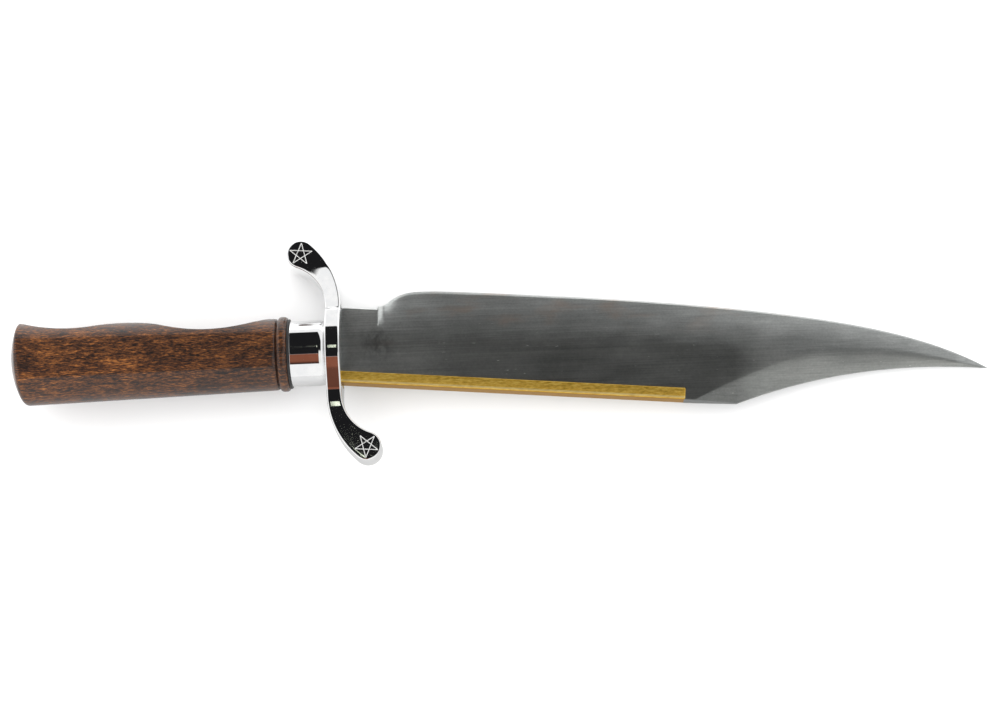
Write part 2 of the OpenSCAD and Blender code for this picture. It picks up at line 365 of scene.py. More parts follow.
class Material(Nodes):
    """A material's nodes, with a Principled shader at their end."""

    def __init__(self, name):
        self.material = bpy.data.materials.new(name)
        self.material.use_nodes = True
        super().__init__(self.material.node_tree, "Object")
        self.shader = self.tree.nodes["Principled BSDF"]

    def set(self, **values):
        for key, value in values.items():
            self.fill(self.shader.inputs[key.replace("_", " ")], value)

    def bump(self, height, strength, distance):
        node = self.add("Bump")
        node.inputs["Strength"].default_value = strength
        node.inputs["Distance"].default_value = distance
        self.link(height, node.inputs["Height"])
        self.set(Normal=node.outputs["Normal"])


def wood_material():
    n = Material("stained_hardwood")
    flecks = n.noise((450, 2800, 2800), 4.0, 0.68, distortion=0.3)
    streaks = n.noise((130, 900, 900), 3.0, 0.6, shift=(4, 4, 9))
    pores = n.noise((520, 4600, 4600), 3.0, 0.55, shift=(3, 1, 2))
    patches = n.noise((60, 130, 130), 4.0, 0.62, shift=(7, 2, 5))
    colour = n.ramp(
        n.weigh((flecks, 0.62), (streaks, 0.26), (patches, 0.22)),
        [
            (0.42, (0.006, 0.004, 0.004, 1)),
            (0.51, (0.026, 0.010, 0.005, 1)),
            (0.56, (0.080, 0.026, 0.007, 1)),
            (0.62, (0.170, 0.055, 0.011, 1)),
            (0.72, (0.400, 0.150, 0.028, 1)),
        ],
    )
    colour = n.mix(1.0, colour, n.span(pores, 0.36, 0.50, 0.30, 1.0), "MULTIPLY")
    # The wood is painted darker towards the front as shade, and darkest in the neck behind the
    # bead, where painted shade fills the groove.
    colour = n.mix(1.0, colour, n.span(n.axis("X"), -0.12, -0.04, 1.06, 0.78), "MULTIPLY")
    neck = n.band(
        n.axis("X"),
        ((GRIP_START - 1.2) * MM, (GRIP_START - 0.3) * MM),
        ((GRIP_START + 0.1) * MM, (GRIP_START + 0.9) * MM),
    )
    # Painted shade darkens the neck groove.
    colour = n.mix(n.math("MULTIPLY", neck, 0.4), colour, (0.008, 0.006, 0.006, 1))
    n.set(Base_Color=colour, Roughness=n.span(flecks, 0.3, 0.7, 0.42, 0.6))
    n.set(Coat_Weight=0.65, Coat_Roughness=0.13, Coat_IOR=1.5, IOR=1.4, Specular_IOR_Level=0.3)
    n.bump(n.math("ADD", n.math("MULTIPLY", flecks, 0.5), pores), 0.14, 0.0002)
    return n.material


def blade_material():
    n = Material("brushed_steel")
    lines = n.noise((18, 1500, 1500), 5.0, 0.72, turn=CANT)
    fine = n.noise((90, 4000, 4000), 2.0, 0.5, turn=CANT)
    clouds = n.noise((40, 90, 90), 5.0, 0.62, shift=(2, 4, 1), turn=CANT)
    specks = n.noise((1100, 1100, 1100), 3.0, 0.6, shift=(5, 5, 5))
    steel = n.ramp(
        n.weigh((lines, 0.46), (clouds, 0.32), (specks, 0.22)),
        [
            (0.36, (0.40, 0.415, 0.41, 1)),
            (0.50, (0.54, 0.56, 0.55, 1)),
            (0.64, (0.70, 0.72, 0.705, 1)),
        ],
    )
    # The steel's colour is painted lighter towards the edge, beside the guard and towards the
    # point; this polish is painted light and shade, not a finish.
    across = n.math("ADD", n.blade_v(), n.math("MULTIPLY", clouds, 0.006))
    polish = n.span(across, 0.008, 0.027, 0.47, 1.00)
    polish = n.math("ADD", polish, n.span(n.axis("X"), 0.004, 0.075, 0.30, 0.0))
    polish = n.math("MAXIMUM", polish, n.span(n.axis("X"), 0.150, 0.185, 0.0, 0.76))
    steel = n.mix(1.0, steel, polish, "MULTIPLY")
    scratches = n.noise((260, 1700, 1700), 2.0, 0.5, shift=(8, 3, 3), turn=CANT)
    nicks = n.span(scratches, 0.73, 0.78, 0.0, 0.8)
    steel = n.mix(nicks, steel, (0.95, 0.95, 0.94, 1))
    # A dull stain in front of the guard, with a ragged border.
    ragged = n.span(n.noise((420, 260, 260), 4.0, 0.6, shift=(1, 9, 2)), 0.22, 0.72, 0.0, 0.75)
    stain = n.math("MULTIPLY", n.spot((0.0155, 0.0025, HALF_T * MM), 0.0015, 0.0095), ragged)
    steel = n.mix(stain, steel, (0.12, 0.125, 0.125, 1))
    warm = n.math(
        "MULTIPLY",
        n.span(n.axis("Y"), -0.002, 0.012),
        n.span(n.noise((45, 110, 110), 3.0, 0.55, shift=(9, 1, 4)), 0.5, 0.75, 0.0, 0.45),
    )
    steel = n.mix(warm, steel, (0.60, 0.45, 0.36, 1))
    wear = n.math("ADD", clouds, n.math("MULTIPLY", specks, 0.2))
    n.set(Base_Color=steel, Metallic=1.0, Roughness=n.span(wear, 0.3, 0.95, 0.35, 0.40))
    brushed = n.add("CombineXYZ")
    brushed.inputs[0].default_value = math.sin(CANT)
    brushed.inputs[1].default_value = math.cos(CANT)
    n.set(Anisotropic=0.5, Tangent=brushed.outputs[0])
    n.bump(n.weigh((lines, 0.7), (fine, 0.3)), 0.16, 0.00006)
    return n.material


def brass_material(name="brass", dull=0.0):
    n = Material(name)
    grain = n.noise((60, 3200, 3200), 3.0, 0.6, turn=CANT)
    clouds = n.noise((420, 1300, 1300), 4.0, 0.62, shift=(3, 3, 1))
    colour = n.ramp(
        n.weigh((grain, 0.4), (clouds, 0.6)),
        [
            (0.34, (0.52, 0.30, 0.04, 1)),
            (0.50, (0.84, 0.53, 0.09, 1)),
            (0.66, (0.98, 0.74, 0.18, 1)),
        ],
    )
    # A painted highlight runs along the bend, where its rounded corner catches the light; the spine
    # face below it is painted darker as shade.
    across = n.blade_v()
    painted_bend_highlight = n.band(
        across,
        ((BACK_V + 0.35) * MM, (BACK_V + 0.6) * MM),
        ((BACK_V + 1.0) * MM, (BACK_V + 1.5) * MM),
    )
    painted_spine_shade = n.span(across, (BACK_V + 0.08) * MM, (BACK_V + 0.30) * MM, 0.85, 0.0)
    colour = n.mix(n.math("MULTIPLY", painted_bend_highlight, 0.6), colour, (1.0, 0.86, 0.42, 1))
    colour = n.mix(painted_spine_shade, colour, (0.42, 0.22, 0.05, 1))
    n.set(Base_Color=colour, Metallic=1.0)
    n.set(Roughness=n.span(clouds, 0.3, 0.7, 0.42 + dull, 0.52 + dull))
    n.bump(grain, 0.10, 0.00005)
    return n.material


def chrome_material():
    n = Material("polished_plate")
    haze = n.noise((160, 160, 160), 4.0, 0.6)
    specks = n.noise((1400, 1400, 1400), 2.0, 0.5, shift=(2, 7, 1))
    tone = n.span(haze, 0.35, 0.7)
    n.set(Base_Color=n.mix(tone, (0.86, 0.865, 0.87, 1), (0.93, 0.93, 0.925, 1)))
    dust = n.span(specks, 0.64, 0.78)
    polish = n.span(haze, 0.4, 0.75, 0.03, 0.07)
    n.set(Metallic=1.0, Roughness=n.math("ADD", polish, n.math("MULTIPLY", dust, 0.12)))
    n.bump(dust, 0.05, 0.00003)
    return n.material


def engraved_material():
    n = Material("cut_line")
    grit = n.noise((2600, 2600, 2600), 3.0, 0.6)
    tone = n.span(grit, 0.35, 0.65)
    n.set(Base_Color=n.mix(tone, (0.62, 0.62, 0.61, 1), (0.84, 0.84, 0.83, 1)))
    n.set(Metallic=0.4, Roughness=n.span(grit, 0.3, 0.7, 0.55, 0.7))
    n.bump(grit, 0.2, 0.00005)
    return n.material


def fibre_material():
    n = Material("black_fibre")
    grit = n.noise((1800, 1800, 1800), 4.0, 0.6)
    tone = n.span(grit, 0.3, 0.7)
    n.set(Base_Color=n.mix(tone, (0.008, 0.008, 0.009, 1), (0.022, 0.020, 0.020, 1)))
    n.set(Roughness=n.span(grit, 0.3, 0.7, 0.35, 0.5))
    n.bump(grit, 0.15, 0.0001)
    return n.material


def resin_material():
    n = Material("set_resin")
    cloud = n.noise((300, 300, 300), 3.0, 0.5)
    tone = n.span(cloud, 0.3, 0.7)
    n.set(Base_Color=n.mix(tone, (0.42, 0.27, 0.10, 1), (0.62, 0.44, 0.20, 1)))
    n.set(Roughness=n.span(cloud, 0.3, 0.7, 0.25, 0.4))
    return n.material


def floor_material():
    n = Material("pale_floor")
    grain = n.noise((30, 30, 30), 3.0, 0.5)
    n.set(Base_Color=n.mix(grain, (0.88, 0.88, 0.88, 1), (0.90, 0.90, 0.90, 1)))
    n.set(Roughness=0.9, Specular_IOR_Level=0.0)
    # In mirrors the floor is shown dimmer, or its overexposed white would drown them, and it is
    # painted darker towards -Y as shade on that side of the knife.
    mirrored_floor_shade = n.add("BsdfDiffuse")
    n.link(n.span(n.axis("Y"), -0.05, 0.05, 0.50, 0.90), mirrored_floor_shade.inputs["Color"])
    mirrored = n.add("LightPath").outputs["Is Glossy Ray"]
    seen = n.mix_shaders(mirrored, n.shader.outputs[0], mirrored_floor_shade.outputs[0])
    # Seen from below, as a low side view does, the floor lets the view through.
    below = n.add("NewGeometry").outputs["Backfacing"]
    seen = n.mix_shaders(below, seen, n.add("BsdfTransparent").outputs[0])
    n.link(seen, n.tree.nodes["Material Output"].inputs["Surface"])
    return n.material


# ------------------------------------------------------------------------ blade
def edge_v(u):
    if u < CORNER_U:
        return RICASSO_V - CORNER_R + math.sqrt(max(CORNER_R**2 - (CORNER_U - u) ** 2, 0.0))
    if u < PLUNGE_U:
        return RICASSO_V
    heel = HEEL_RISE / (1 + ((u - PLUNGE_U) / HEEL_LEN) ** 2.2)
    s = max(0.0, (u - BELLY_U) / (BLADE_LEN - BELLY_U))
    belly = BELLY_SHARE * s**2 + (1 - BELLY_SHARE) * s**6
    return EDGE_V - heel - (EDGE_V - POINT_V) * belly


def edge_lean(u):
    step = 0.2
    rise = (edge_v(u + step) - edge_v(u - step)) / (2 * step)
    return math.cos(math.atan(rise))


def clip_centre():
    start, end = Vector((CLIP_U, BACK_V)), Vector((BLADE_LEN, POINT_V))
    chord = end - start
    rise = math.sqrt(CLIP_R**2 - (chord.length / 2) ** 2) / chord.length
    return (start + end) / 2 + rise * Vector((chord.y, -chord.x))


CLIP_C = clip_centre()


def back_v(u):
    if u < REBATE_END_U:
        return REBATE_BACK_V
    if u < CLIP_U:
        return BACK_V
    return CLIP_C.y + math.sqrt(CLIP_R**2 - (u - CLIP_C.x) ** 2)


def spine_half(u):
    return lerp(SPINE_HALF, SPINE_TIP_HALF, (u - SWEDGE_FULL_U) / (BLADE_LEN - SWEDGE_FULL_U))


def swedge_v(u):
    """Upper border of the swedge, or of the strip's rebate behind it."""
    if u < REBATE_END_U:
        return REBATE_V
    stretch = sum(u >= knot[0] for knot in SWEDGE_KNOTS[1:-1])
    (u0, v0, m0), (u1, v1, m1) = SWEDGE_KNOTS[stretch : stretch + 2]
    line = hermite((u - u0) / (u1 - u0), v0, v1, m0, m1)
    low, high = back_v(u), edge_v(u)
    return clamp(line, low + min(0.3, 0.2 * (high - low)), low + 0.64 * (high - low))


def grind_line(u):
    sweep = GRIND_SWEEP * math.exp(-max(u - PLUNGE_U, 0.0) / GRIND_SWEEP_LEN)
    return GRIND_TOP - GRIND_DROP * math.exp(-max(u, 0.0) / GRIND_DROP_LEN) + sweep


def grind_v(u):
    ridge, high = swedge_v(u), edge_v(u)
    room = high - ridge
    return clamp(grind_line(u), ridge + min(0.5, 0.2 * room), ridge + 0.62 * room)


def bevel_width(u):
    if u < PLUNGE_U:
        return RICASSO_BREAK
    width = lerp(BEVEL_W, BEVEL_TIP_W, smooth((u - 30.0) / 90.0))
    return soft_min(width / edge_lean(u), 0.35 * (edge_v(u) - grind_v(u)), 0.5)


def ground_z(u, v):
    """Half thickness of the ground blade, without ricasso or rebate."""
    width = bevel_width(max(u, PLUNGE_U + 0.01))
    bevel_top = BEVEL_Z * min(1.0, width / BEVEL_FULL_W)
    high = edge_v(u)
    d = high - v
    if d < width:
        return lerp(EDGE_HALF, bevel_top, max(d, 0.0) / width)
    ridge = grind_line(u)
    if u > GRIND_DEPTH_U:
        ridge = min(ridge, high - GRIND_DEPTH)
    q = clamp((d - width) / max(high - ridge - width, 0.1))
    return lerp(bevel_top, HALF_T, 1 - (1 - q) ** GRIND_CROWN)


def plunge_u(v):
    """Where the ricasso ends: the plunge line slants forward below the edge."""
    return PLUNGE_U + PLUNGE_SLANT * clamp(RICASSO_V - v, 0.0, 16.0)


def half_thickness(u, v):
    if u < REBATE_END_U and v <= REBATE_V + 1e-6:
        return REBATE_Z
    start = plunge_u(v)
    if u <= start:
        return HALF_T - max(0.0, RICASSO_BREAK - (RICASSO_V - v))
    z = ground_z(u, v)
    ridge = swedge_v(u)
    if u > REBATE_END_U and v < ridge:
        top = ground_z(u, ridge)
        q = clamp((v - back_v(u)) / (ridge - back_v(u)))
        crown = lerp(1.0, SWEDGE_ARCH, smooth((u - SWEDGE_FULL_U) / SWEDGE_ARCH_LEN))
        arched = lerp(min(spine_half(u), top), top, 1 - (1 - q) ** crown)
        flat = top - SWEDGE_SLOPE * (ridge - v)
        return lerp(flat, arched, smooth((u - SWEDGE_FULL_U) / SWEDGE_BLEND))
    if u < start + PLUNGE_LEN:
        t = (u - start) / PLUNGE_LEN
        z = lerp(HALF_T, z, lerp(1.0, PLUNGE_STEP, (1 - t) ** 2))
    return z


def rounded_z(u, v):
    """Half thickness with its ridges eased, as a grinding belt leaves them."""
    widest = lerp(EASE_NEAR, EASE_FAR, smooth((u - 153.0) / 22.0))
    ease = min(widest, 0.3 * max(edge_v(u) - bevel_width(u) - v, 0.0))
    if u < REBATE_END_U and v < REBATE_V + 1.0:
        ease = 0.0
    ease = min(ease, 0.5 * (v - back_v(u)))
    if ease < 1e-3:
        return half_thickness(u, v)
    total = sum(weight * half_thickness(u, v + step * ease) for step, weight in EASE_TAPS)
    return total / sum(weight for _, weight in EASE_TAPS)


BELOW_SWEDGE = [0, 0.04, 0.12, 0.25, 0.4, 0.55, 0.7, 0.82, 0.91, 0.96, 1]
BELOW_GRIND = [0.012, 0.04, 0.1, 0.25, 0.45, 0.65, 0.82, 0.92, 0.97, 1]
BELOW_BEVEL = [0.02, 0.05, 0.1, 0.18, 0.28, 0.38, 0.48, 0.58, 0.68, 0.78, 0.87, 0.94, 0.98, 1]
BELOW_EDGE = [0.33, 0.66, 1]


def blade_columns(u):
    low, ridge, grind, high = back_v(u), swedge_v(u), grind_v(u), edge_v(u)
    bevel = high - bevel_width(u)
    cols = [lerp(low, ridge, t) for t in BELOW_SWEDGE]
    cols += [lerp(ridge, grind, t) for t in BELOW_GRIND]
    cols += [lerp(grind, bevel, t) for t in BELOW_BEVEL]
    return cols + [lerp(bevel, high, t) for t in BELOW_EDGE]


def blade_stations():
    near = spread(ROOT_U, PLUNGE_U - 0.1, 8)
    cove = spread(PLUNGE_U + 0.02, PLUNGE_U + PLUNGE_LEN, 16)
    heel = spread(PLUNGE_U + PLUNGE_LEN + 0.3, 40.0, 48)
    body = spread(41.0, REBATE_END_U - 0.05, 84)
    front = spread(REBATE_END_U + 0.05, 156.0, 14) + spread(156.8, CLIP_U - 0.05, 22)
    clip = spread(CLIP_U + 0.05, 262.0, 100) + spread(262.6, BLADE_LEN - 0.06, 36)
    return near + cove + heel + body + front + clip


def root_u(v):
    """Where the blade meets the guard's seat, which is square to the grip axis."""
    return (SEAT_X - v * math.sin(CANT)) / math.cos(CANT)


def blade_rows():
    rows = []
    for k in (0.0, 0.01, 0.03, 0.06, 0.1, 0.15, 0.21, 0.28, 0.36, 0.5, 0.65, 0.8, 0.92):
        row = []
        for c in range(len(blade_columns(0.0))):
            # A column's v depends on u, and u on v, so both are approached in turns.
            u = ROOT_U * k
            for _ in range(6):
                v = blade_columns(u)[c]
                u = lerp(root_u(v), ROOT_U, k)
            row.append((u, v, rounded_z(u, v)))
        rows.append(row)
    for u0 in blade_stations():
        # Rows near the plunge line follow its slant.
        slant = smooth((u0 - ROOT_U) / 7.0) * (1 - smooth((u0 - 20.0) / 16.0))
        row = []
        for v in blade_columns(u0):
            u = u0 + slant * (plunge_u(v) - PLUNGE_U)
            row.append((u, v, rounded_z(u, v)))
        rows.append(row)
    return rows


def tapered_bar(verts, faces, x0, x1, w0, w1, t, c=0.4):
    """Bar along X with corners broken by c; its face at x0 is sunk by c."""
    first = len(verts)
    for x, w, inset in ((x0, w0, c), (x0 - c, w0, 0.0), (x1, w1, 0.0)):
        a, b = w / 2 - inset, t / 2 - inset
        verts += [
            (x, a - c, b), (x, -a + c, b), (x, -a, b - c), (x, -a, -b + c),
            (x, -a + c, -b), (x, a - c, -b), (x, a, -b + c), (x, a, b - c),
        ]
    faces += grid_faces(3, 8, True, first)
    faces.append(tuple(first + i for i in range(8)))
    faces.append(tuple(first + 16 + i for i in range(8)))


def make_blade(material):
    verts, faces = two_sided([[on_blade(*point) for point in row] for row in blade_rows()])
    tapered_bar(verts, faces, -TANG_LEN, 2.5, TANG_END_W, TANG_W, TANG_T)
    return new_piece("knife_blade", verts, faces, material, 24.0)


# ------------------------------------------------------------ brass strip, pin
def strip_section(inset):
    """U section, closed, as (v, z); inset shrinks the outside for the end bevel."""
    out = STRIP_OUT - inset
    foot, top = BACK_V + inset, STRIP_TOP_V - inset
    low, side = out - STRIP_CORNER, out - STRIP_CROWN
    half = corner_points((foot, low - STRIP_R), (foot, low), (foot + STRIP_R, side), 8)
    for w in (0.3, 0.7, 1.2, 1.7, 2.2):
        half.append((foot + STRIP_R + w, out - STRIP_CROWN * (1 - w / STRIP_CROWN_LEN) ** 2))
    half += corner_points((top - STRIP_TIP_R, out), (top, out), (top, out - STRIP_TIP_R), 5)
    half += [(top, REBATE_Z), (BACK_V + STRIP_WEB, REBATE_Z)]
    return half + [(v, -z) for v, z in reversed(half)]


def make_strip(material):
    verts = []
    straight = STRIP_END_U - STRIP_BEVEL
    for s in spread(0.0, 1.0, 60):
        verts += [on_blade(lerp(root_u(v), straight, s), v, z) for v, z in strip_section(0.0)]
    for t in (0.35, 0.7, 1.0):
        inset = STRIP_BEVEL * (1 - math.sqrt(1 - (0.9 * t) ** 2))
        verts += [on_blade(straight + STRIP_BEVEL * t, v, z) for v, z in strip_section(inset)]
    cols = len(strip_section(0.0))
    faces = grid_faces(len(verts) // cols, cols, True)
    for first in (0, len(verts) - cols):
        faces.append(tuple(range(first, first + cols)))
    return new_piece("back_strip", verts, faces, material, 32.0)


def make_pin(material):
    face = STRIP_OUT + PIN_PROUD
    half = [(face, 0.0), (face, 0.35), (face - 0.03, 0.6), (face - 0.08, PIN_R)]
    rows = half + [(-z, r) for z, r in reversed(half)]
    count = 32
    verts = []
    for z, r in rows:
        for i in range(count):
            a = 2 * math.pi * i / count
            verts.append(on_blade(PIN_U + r * math.cos(a), PIN_V + r * math.sin(a), z))
    return new_piece("strip_rivet", verts, grid_faces(len(rows), count, True), material, 40.0)


# ------------------------------------------------------------------------ guard
def guard_height(a):
    """Half height over the distance from the axis: crown, ramp, hollow, arm."""
    if a <= RAMP_START:
        return CROWN_Z - CROWN_R + math.sqrt(CROWN_R**2 - a * a)
    run = math.sqrt(CROWN_R**2 - RAMP_START**2)
    slope = RAMP_START / run
    ramp_top = CROWN_Z - CROWN_R + run
    if a <= RAMP_END:
        return ramp_top - (a - RAMP_START) * slope
    foot = ramp_top - (RAMP_END - RAMP_START) * slope
    t = clamp((a - RAMP_END) / (ARM_FLAT_Y - RAMP_END))
    return lerp(foot, TIP_Z, 1 - (1 - t) ** 2)


def arm_circles():
    drop = -DISC.y - ARM_Y
    span = DISC.x + GUARD_T
    outer_r = (span**2 + drop**2 - DISC_R**2) / (2 * (span - DISC_R))
    inner_r = (DISC.x**2 + drop**2 - DISC_R**2) / (2 * (DISC.x + DISC_R))
    return Vector((outer_r - GUARD_T, -ARM_Y)), outer_r, Vector((inner_r, -ARM_Y)), inner_r


OUTER_C, OUTER_R, INNER_C, INNER_R = arm_circles()


def polar(centre, radius, angle):
    return centre + radius * Vector((math.cos(angle), math.sin(angle)))


def full_angle(v):
    return math.atan2(v.y, v.x) % (2 * math.pi)


def arm_rungs():
    """Rungs across the lower arm, from the axis out to the disc's far point."""
    rungs = [(Vector((-GUARD_T, y)), Vector((0.0, y)), "bar") for y in spread(0.0, -ARM_Y, 40)]
    outer_end = full_angle(DISC - OUTER_C)
    inner_end = full_angle(DISC - INNER_C)
    for t in spread(0.0, 1.0, 40)[1:]:
        rungs.append(
            (
                polar(OUTER_C, OUTER_R, lerp(math.pi, outer_end, t)),
                polar(INNER_C, INNER_R, lerp(math.pi, inner_end, t)),
                "arm",
            )
        )
    start, end = outer_end, inner_end + math.pi
    middle = (start + end) / 2
    for t in spread(0.0, 1.0, 34)[1:]:
        left = polar(DISC, DISC_R, lerp(start, middle, t))
        right = polar(DISC, DISC_R, lerp(end, middle, t))
        rungs.append((left, right, "disc"))
    return rungs


RIM_STEPS = [0.0, 0.03, 0.09, 0.18, 0.30, 0.45, 0.62, 0.80, 1.0]


def rung_fractions(length):
    rim = min(RIM_R * 1.05, 0.42 * length)
    edge = [rim * s for s in RIM_STEPS]
    inner = spread(rim, length - rim, 8)[1:-1]
    marks = edge + inner + [length - e for e in reversed(edge)]
    return [m / length if length > 1e-9 else 0.5 for m in marks]


def rim_distance(p, kind):
    if kind == "bar":
        return min(p.x + GUARD_T, -p.x)
    if kind == "arm":
        return min(OUTER_R - (p - OUTER_C).length, (p - INNER_C).length - INNER_R)
    return DISC_R - (p - DISC).length


def arm_lean(y, across):
    """How far the upper arm's face drops; across is 0 on its outer side, 1 on its inner."""
    amount = smooth((y - LEAN_IN[0]) / LEAN_IN[1]) * (1 - smooth((y - LEAN_OUT[0]) / LEAN_OUT[1]))
    pivot = LEAN_PIVOT * smooth((y - PIVOT_IN[0]) / PIVOT_IN[1])
    return LEAN * GUARD_T * amount * (across - pivot)


def guard_z(p, kind, upper, across):
    """Height of the guard's face, with its rim rounded."""
    d = max(rim_distance(p, kind), 0.0)
    height = guard_height(abs(p.y))
    if upper:
        height -= arm_lean(-p.y, across)
    if d < RIM_R:
        height -= RIM_R - math.sqrt(max(RIM_R**2 - (RIM_R - d) ** 2, 0.0))
    return height


def make_guard(material, cut_material):
    """Both arms run over the lower arm's rungs; the upper one is turned half way round."""
    rungs = arm_rungs()
    rows = []
    for upper in (True, False):
        part = []
        for left, right, kind in rungs:
            row = []
            for s in rung_fractions((right - left).length):
                p = left.lerp(right, s)
                z = guard_z(p, kind, upper, s)
                row.append((-GUARD_T - p.x, -p.y, z) if upper else (p.x, p.y, z))
            part.append(row[::-1] if upper else row)
        rows += part[:0:-1] if upper else part
    verts, faces = two_sided(rows)
    piece = new_piece("s_guard", verts, faces, material, 28.0)
    piece.data.materials.append(cut_material)
    carve(piece, guard_cutters(), 28.0)
    return piece


BOX_FACES = [(0, 1, 3, 2), (4, 6, 7, 5), (0, 4, 5, 1), (2, 3, 7, 6), (0, 2, 6, 4), (1, 5, 7, 3)]


def box(centre, size, turn=0.0):
    """A box's corners, in the order BOX_FACES counts on."""
    spin = Matrix.Rotation(turn, 3, "Z")
    ends = (-0.5, 0.5)
    corners = [(x * size[0], y * size[1], z * size[2]) for x in ends for y in ends for z in ends]
    return [centre + spin @ Vector(corner) for corner in corners]


def guard_cutters():
    """(box, material slot) for the star lines on both discs, the blade's seat and the tang slot."""
    apothem = STAR_R * math.cos(math.radians(72))
    reach = 2 * STAR_R * math.sin(math.radians(72))
    lower = Vector((DISC.x, DISC.y, 0))
    upper = Vector((-GUARD_T - DISC.x, -DISC.y, 0))
    cutters = []
    for centre, start in ((lower, STAR_TURN), (upper, STAR_TURN + 180)):
        for side in (-1, 1):
            for k in range(5):
                angle = math.radians(start + 72 * k)
                offset = Vector((math.cos(angle), math.sin(angle), 0)) * apothem
                place = centre + offset + Vector((0, 0, side * TIP_Z))
                cutters.append((box(place, (STAR_W, reach, 2 * STAR_DEPTH), angle), 1))
    seat = Vector((SEAT_X + 0.5, (SEAT_Y[0] + SEAT_Y[1]) / 2, 0))
    cutters.append((box(seat, (1.0, SEAT_Y[1] - SEAT_Y[0], 2 * SEAT_Z)), 0))
    slot = Vector((-GUARD_T / 2, 0, 0))
    cutters.append((box(slot, (2 * GUARD_T, TANG_W + 2 * SLOT_GAP, TANG_T + 2 * SLOT_GAP)), 0))
    return cutters


def carve(piece, cutters, smooth_deg):
    """Cuts boxes out of a piece; each brings its own material slot."""
    mesh = bpy.data.meshes.new("cutters")
    verts, faces, slots = [], [], []
    for corners, slot in cutters:
        first = len(verts)
        verts += [corner * MM for corner in corners]
        faces += [tuple(first + i for i in face) for face in BOX_FACES]
        slots += [slot] * len(BOX_FACES)
    mesh.from_pydata(verts, [], faces)
    for material in piece.data.materials:
        mesh.materials.append(material)
    for face, slot in zip(mesh.polygons, slots):
        face.material_index = slot
    bm = bmesh.new()
    bm.from_mesh(mesh)
    bmesh.ops.recalc_face_normals(bm, faces=bm.faces)
    bm.to_mesh(mesh)
    bm.free()
    cutter = bpy.data.objects.new("cutters", mesh)
    bpy.context.scene.collection.objects.link(cutter)
    cut = piece.modifiers.new("cut", "BOOLEAN")
    cut.operation = "DIFFERENCE"
    cut.solver = "EXACT"
    cut.use_self = True
    cut.object = cutter
    graph = bpy.context.evaluated_depsgraph_get()
    done = bpy.data.meshes.new_from_object(piece.evaluated_get(graph))
    piece.modifiers.clear()
    piece.data = done
    shade(done, smooth_deg)
    bpy.data.objects.remove(cutter)


# -------------------------------------------------------------- ferrule, spacer
def make_ferrule(material):
    back, front, r = FERRULE_BACK, -GUARD_T, FERRULE_R
    profile = corner_points((back, r - 0.5), (back, r), (back + 0.55, r), 8)
    profile += [(x, r) for x in spread(back + 1.2, front - 3.2, 8)]
    profile += corner_points((front - 2.7, r), (front - 0.15, r - 0.05), (front, r - 1.35), 14)
    profile += [(front, TENON_R), (back, TENON_R)]
    return lathe("grip_ferrule", profile, material)


def make_spacer(material):
    back, front, r = SHOULDER_X, FERRULE_BACK, SPACER_R
    profile = [(front, TENON_R)]
    profile += corner_points((front, r - 0.2), (front, r), (front - 0.2, r), 4)
    profile += corner_points((back + 0.2, r), (back, r), (back, r - 0.2), 4)
    profile += [(back, TENON_R)]
    return lathe("fibre_spacer", profile, material)


# ------------------------------------------------------------------------- grip
GROOVE_FRONT = (-57.5, 9.3, 57.0)
GROOVE_REAR = (-117.5, 12.6, 50.0)
GROOVE_BLEND = 16.0
LEAST_CREASE = math.radians(14)
CREASE_STEPS = [math.radians(d) for d in (0.5, 1.1, 1.9, 3.0, 4.6)]


def barrel_radius(x):
    return lerp(BARREL_R0, BARREL_R1, clamp((x - BARREL_X0) / (BARREL_X1 - BARREL_X0), 0, 1.05))


def groove_y(x):
    """Height of the finger-grooved side above the axis."""
    front = GROOVE_FRONT[1] + (x - GROOVE_FRONT[0]) ** 2 / (2 * GROOVE_FRONT[2])
    rear = GROOVE_REAR[1] + (x - GROOVE_REAR[0]) ** 2 / (2 * GROOVE_REAR[2])
    return soft_min(front, rear, GROOVE_BLEND)


def crease_angle(x):
    radius = barrel_radius(x)
    return max(LEAST_CREASE, math.acos(clamp(groove_y(x) / radius, -1, math.cos(LEAST_CREASE))))


def section_angles(crease):
    """Angles from +Y round to +Y, with points gathered along both creases."""
    flat = [crease - s for s in CREASE_STEPS]
    inner = spread(-flat[-1], flat[-1], 12)
    right = [crease - s for s in reversed(CREASE_STEPS[:-1])] + [crease]
    out = [crease + s for s in CREASE_STEPS]
    arc = spread(out[-1], 2 * math.pi - out[-1], 96)
    back = [2 * math.pi - a for a in reversed(out[:-1])] + [2 * math.pi - crease]
    left = [2 * math.pi - a for a in reversed(right[:-1])]
    return inner + right + out[:-1] + arc + back + left


def grip_radius(x, angle):
    radius = barrel_radius(x)
    radius += 0.55 * smooth((-130.0 - x) / 9.0) * max(0.0, math.cos(angle)) ** 2
    if math.cos(angle) > 0.05:
        cut = groove_y(x) / math.cos(angle)
        if cut < radius + 1.0:
            return soft_min(radius, cut, 0.5)
    return radius


def dome_x(rho, angle):
    y, z = rho * math.cos(angle) - DOME_LIFT, rho * math.sin(angle)
    return DOME_X - math.sqrt(DOME_R**2 - y * y - z * z)


def butt_corner(angle):
    """Where the barrel meets the dome at this angle, and how far it is eased."""
    x = BARREL_X1
    for _ in range(4):
        rho = grip_radius(x, angle)
        x = dome_x(rho, angle)
    ease = lerp(1.7, 0.7, smooth(0.5 + 0.6 * math.cos(angle)))
    return x, rho, ease


